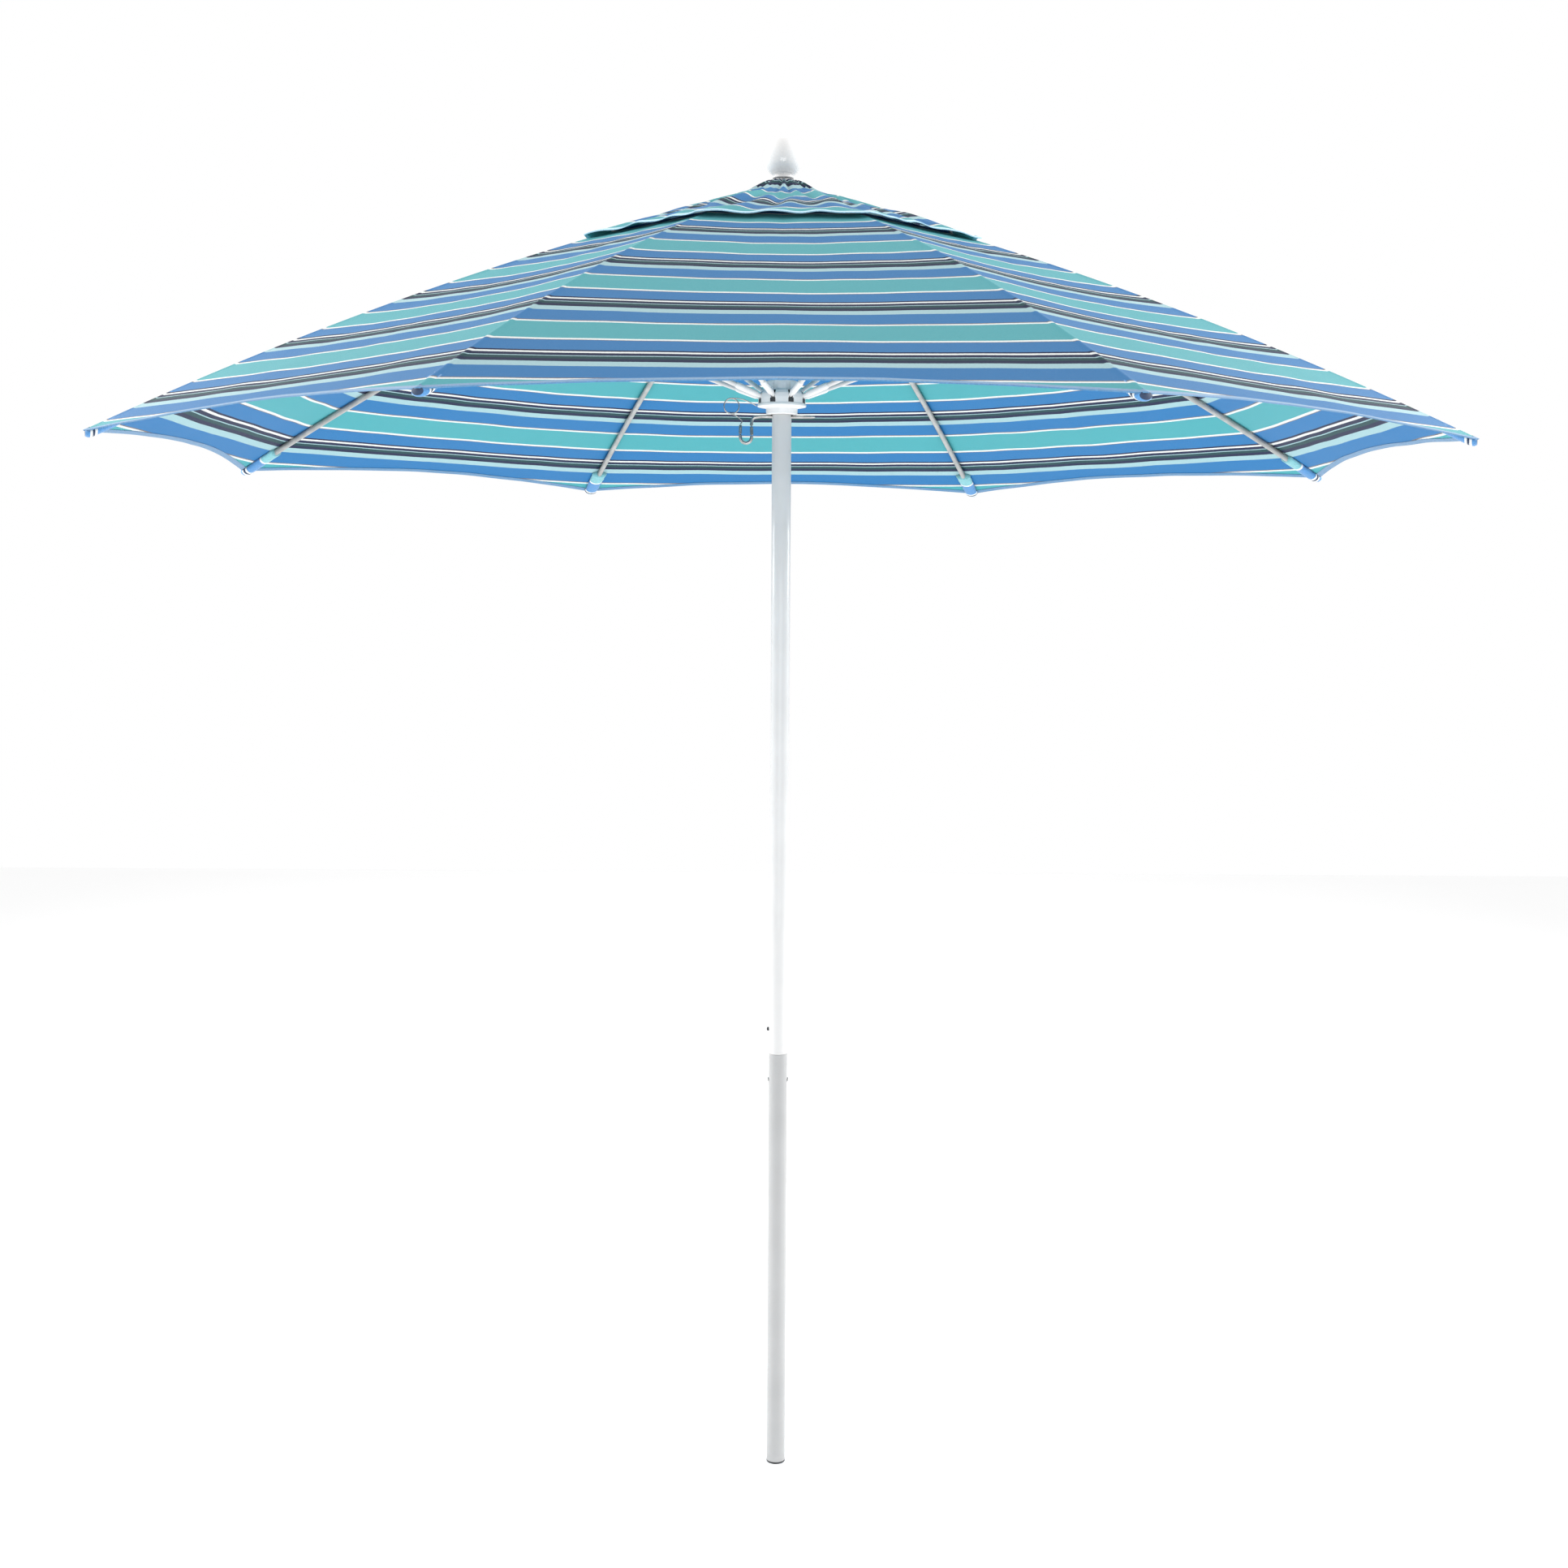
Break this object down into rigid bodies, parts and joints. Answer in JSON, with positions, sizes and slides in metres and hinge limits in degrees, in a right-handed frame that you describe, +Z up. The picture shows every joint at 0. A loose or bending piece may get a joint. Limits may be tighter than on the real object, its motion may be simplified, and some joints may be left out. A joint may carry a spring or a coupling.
{
  "type": "beach umbrella",
  "caption": "Octagonal beach umbrella with eight folding ribs, push-up runner, pinned two-piece pole, vented striped canopy and ball finial.",
  "frame": {"origin": "centre of the pole's bottom end", "axes": "+Z up along the pole to the finial; -Y towards the middle of the front gore; the lock pin and the snap button stand out at -X"},
  "size_m": [2.4224, 2.4224, 2.693],
  "materials": {
    "paint_white": "satin white powder coat",
    "plastic_white": "moulded, slight gloss",
    "plastic_dark": "moulded, matt",
    "steel": "zinc-plated wire and sheet",
    "fibreglass": "pultruded grey rod",
    "canopy_cloth": "woven, striped in blue, teal, sage, navy and white"
  },
  "bodies": {
    "lower": {"lower_pole": "paint_white", "foot_plug": "plastic_dark", "pole_coupler": "steel", "coupler_rivet": "steel", "button_spring": "steel"},
    "button": {"snap_button": "plastic_dark"},
    "upper": {"upper_pole": "paint_white", "crown_hub": "plastic_white", "crown_ring": "steel", "finial": "plastic_white", "finial_stud": "steel", "vent_canopy": "canopy_cloth"},
    "pin": {"lock_pin": "steel"},
    "rib_1": {"rib_1": "fibreglass", "rib_bracket_1": "plastic_white", "canopy_1": "canopy_cloth"},
    "rib_2": {"rib_2": "fibreglass", "rib_bracket_2": "plastic_white", "canopy_2": "canopy_cloth"},
    "rib_3": {"rib_3": "fibreglass", "rib_bracket_3": "plastic_white", "canopy_3": "canopy_cloth"},
    "rib_4": {"rib_4": "fibreglass", "rib_bracket_4": "plastic_white", "canopy_4": "canopy_cloth"},
    "rib_5": {"rib_5": "fibreglass", "rib_bracket_5": "plastic_white", "canopy_5": "canopy_cloth"},
    "rib_6": {"rib_6": "fibreglass", "rib_bracket_6": "plastic_white", "canopy_6": "canopy_cloth"},
    "rib_7": {"rib_7": "fibreglass", "rib_bracket_7": "plastic_white", "canopy_7": "canopy_cloth"},
    "rib_8": {"rib_8": "fibreglass", "rib_bracket_8": "plastic_white", "canopy_8": "canopy_cloth"},
    "strut_1": {"strut_1": "paint_white", "strut_socket_1": "plastic_white"},
    "strut_2": {"strut_2": "paint_white", "strut_socket_2": "plastic_white"},
    "strut_3": {"strut_3": "paint_white", "strut_socket_3": "plastic_white"},
    "strut_4": {"strut_4": "paint_white", "strut_socket_4": "plastic_white"},
    "strut_5": {"strut_5": "paint_white", "strut_socket_5": "plastic_white"},
    "strut_6": {"strut_6": "paint_white", "strut_socket_6": "plastic_white"},
    "strut_7": {"strut_7": "paint_white", "strut_socket_7": "plastic_white"},
    "strut_8": {"strut_8": "paint_white", "strut_socket_8": "plastic_white"},
    "runner": {"runner_hub": "plastic_white", "runner_bush": "plastic_dark", "runner_ring": "steel", "pin_lanyard": "steel"}
  },
  "joints": [
    {"name": "pole_lift", "type": "slide", "parent": "lower", "child": "upper", "axis": [0, 0, 1], "range_m": [0, 0.36]},
    {"name": "button_press", "type": "slide", "parent": "lower", "child": "button", "axis": [1, 0, 0], "range_m": [0, 0.0066], "stiffness_N_per_m": 800, "deforming": ["button_spring"]},
    {"name": "pin_pull", "type": "slide", "parent": "upper", "child": "pin", "axis": [-1, 0, 0], "range_m": [0, 0.1], "deforming": ["pin_lanyard"]},
    {"name": "rib_1_fold", "type": "hinge", "parent": "upper", "child": "rib_1", "pos_m": [0.03696, 0.01531, 2.575], "axis": [-0.3827, 0.9239, 0], "range_deg": [0, 64], "deforming": ["canopy_1"]},
    {"name": "rib_2_fold", "type": "hinge", "parent": "upper", "child": "rib_2", "pos_m": [0.01531, 0.03696, 2.575], "axis": [-0.9239, 0.3827, 0], "range_deg": [0, 64], "deforming": ["canopy_2"]},
    {"name": "rib_3_fold", "type": "hinge", "parent": "upper", "child": "rib_3", "pos_m": [-0.01531, 0.03696, 2.575], "axis": [-0.9239, -0.3827, 0], "range_deg": [0, 64], "deforming": ["canopy_3"]},
    {"name": "rib_4_fold", "type": "hinge", "parent": "upper", "child": "rib_4", "pos_m": [-0.03696, 0.01531, 2.575], "axis": [-0.3827, -0.9239, 0], "range_deg": [0, 64], "deforming": ["canopy_4"]},
    {"name": "rib_5_fold", "type": "hinge", "parent": "upper", "child": "rib_5", "pos_m": [-0.03696, -0.01531, 2.575], "axis": [0.3827, -0.9239, 0], "range_deg": [0, 64], "deforming": ["canopy_5"]},
    {"name": "rib_6_fold", "type": "hinge", "parent": "upper", "child": "rib_6", "pos_m": [-0.01531, -0.03696, 2.575], "axis": [0.9239, -0.3827, 0], "range_deg": [0, 64], "deforming": ["canopy_6"]},
    {"name": "rib_7_fold", "type": "hinge", "parent": "upper", "child": "rib_7", "pos_m": [0.01531, -0.03696, 2.575], "axis": [0.9239, 0.3827, 0], "range_deg": [0, 64], "deforming": ["canopy_7"]},
    {"name": "rib_8_fold", "type": "hinge", "parent": "upper", "child": "rib_8", "pos_m": [0.03696, -0.01531, 2.575], "axis": [0.3827, 0.9239, 0], "range_deg": [0, 64], "deforming": ["canopy_8"]},
    {"name": "strut_1_turn", "type": "hinge", "parent": "rib_1", "child": "strut_1", "pos_m": [0.52486, 0.2174, 2.38279], "axis": [-0.3827, 0.9239, 0], "range_deg": [-128, 0]},
    {"name": "strut_2_turn", "type": "hinge", "parent": "rib_2", "child": "strut_2", "pos_m": [0.2174, 0.52486, 2.38279], "axis": [-0.9239, 0.3827, 0], "range_deg": [-128, 0]},
    {"name": "strut_3_turn", "type": "hinge", "parent": "rib_3", "child": "strut_3", "pos_m": [-0.2174, 0.52486, 2.38279], "axis": [-0.9239, -0.3827, 0], "range_deg": [-128, 0]},
    {"name": "strut_4_turn", "type": "hinge", "parent": "rib_4", "child": "strut_4", "pos_m": [-0.52486, 0.2174, 2.38279], "axis": [-0.3827, -0.9239, 0], "range_deg": [-128, 0]},
    {"name": "strut_5_turn", "type": "hinge", "parent": "rib_5", "child": "strut_5", "pos_m": [-0.52486, -0.2174, 2.38279], "axis": [0.3827, -0.9239, 0], "range_deg": [-128, 0]},
    {"name": "strut_6_turn", "type": "hinge", "parent": "rib_6", "child": "strut_6", "pos_m": [-0.2174, -0.52486, 2.38279], "axis": [0.9239, -0.3827, 0], "range_deg": [-128, 0]},
    {"name": "strut_7_turn", "type": "hinge", "parent": "rib_7", "child": "strut_7", "pos_m": [0.2174, -0.52486, 2.38279], "axis": [0.9239, 0.3827, 0], "range_deg": [-128, 0]},
    {"name": "strut_8_turn", "type": "hinge", "parent": "rib_8", "child": "strut_8", "pos_m": [0.52486, -0.2174, 2.38279], "axis": [0.3827, 0.9239, 0], "range_deg": [-128, 0]},
    {"name": "runner_travel", "type": "hinge", "parent": "strut_1", "child": "runner", "pos_m": [0.03696, 0.01531, 2.19057], "axis": [-0.3827, 0.9239, 0], "range_deg": [0, 64]}
  ],
  "couplings": [
    {"joint": "rib_2_fold", "follows": "rib_1_fold", "ratio": 1},
    {"joint": "rib_3_fold", "follows": "rib_1_fold", "ratio": 1},
    {"joint": "rib_4_fold", "follows": "rib_1_fold", "ratio": 1},
    {"joint": "rib_5_fold", "follows": "rib_1_fold", "ratio": 1},
    {"joint": "rib_6_fold", "follows": "rib_1_fold", "ratio": 1},
    {"joint": "rib_7_fold", "follows": "rib_1_fold", "ratio": 1},
    {"joint": "rib_8_fold", "follows": "rib_1_fold", "ratio": 1},
    {"joint": "strut_1_turn", "follows": "rib_1_fold", "ratio": -2},
    {"joint": "strut_2_turn", "follows": "rib_1_fold", "ratio": -2},
    {"joint": "strut_3_turn", "follows": "rib_1_fold", "ratio": -2},
    {"joint": "strut_4_turn", "follows": "rib_1_fold", "ratio": -2},
    {"joint": "strut_5_turn", "follows": "rib_1_fold", "ratio": -2},
    {"joint": "strut_6_turn", "follows": "rib_1_fold", "ratio": -2},
    {"joint": "strut_7_turn", "follows": "rib_1_fold", "ratio": -2},
    {"joint": "strut_8_turn", "follows": "rib_1_fold", "ratio": -2},
    {"joint": "runner_travel", "follows": "rib_1_fold", "ratio": 1}
  ]
}
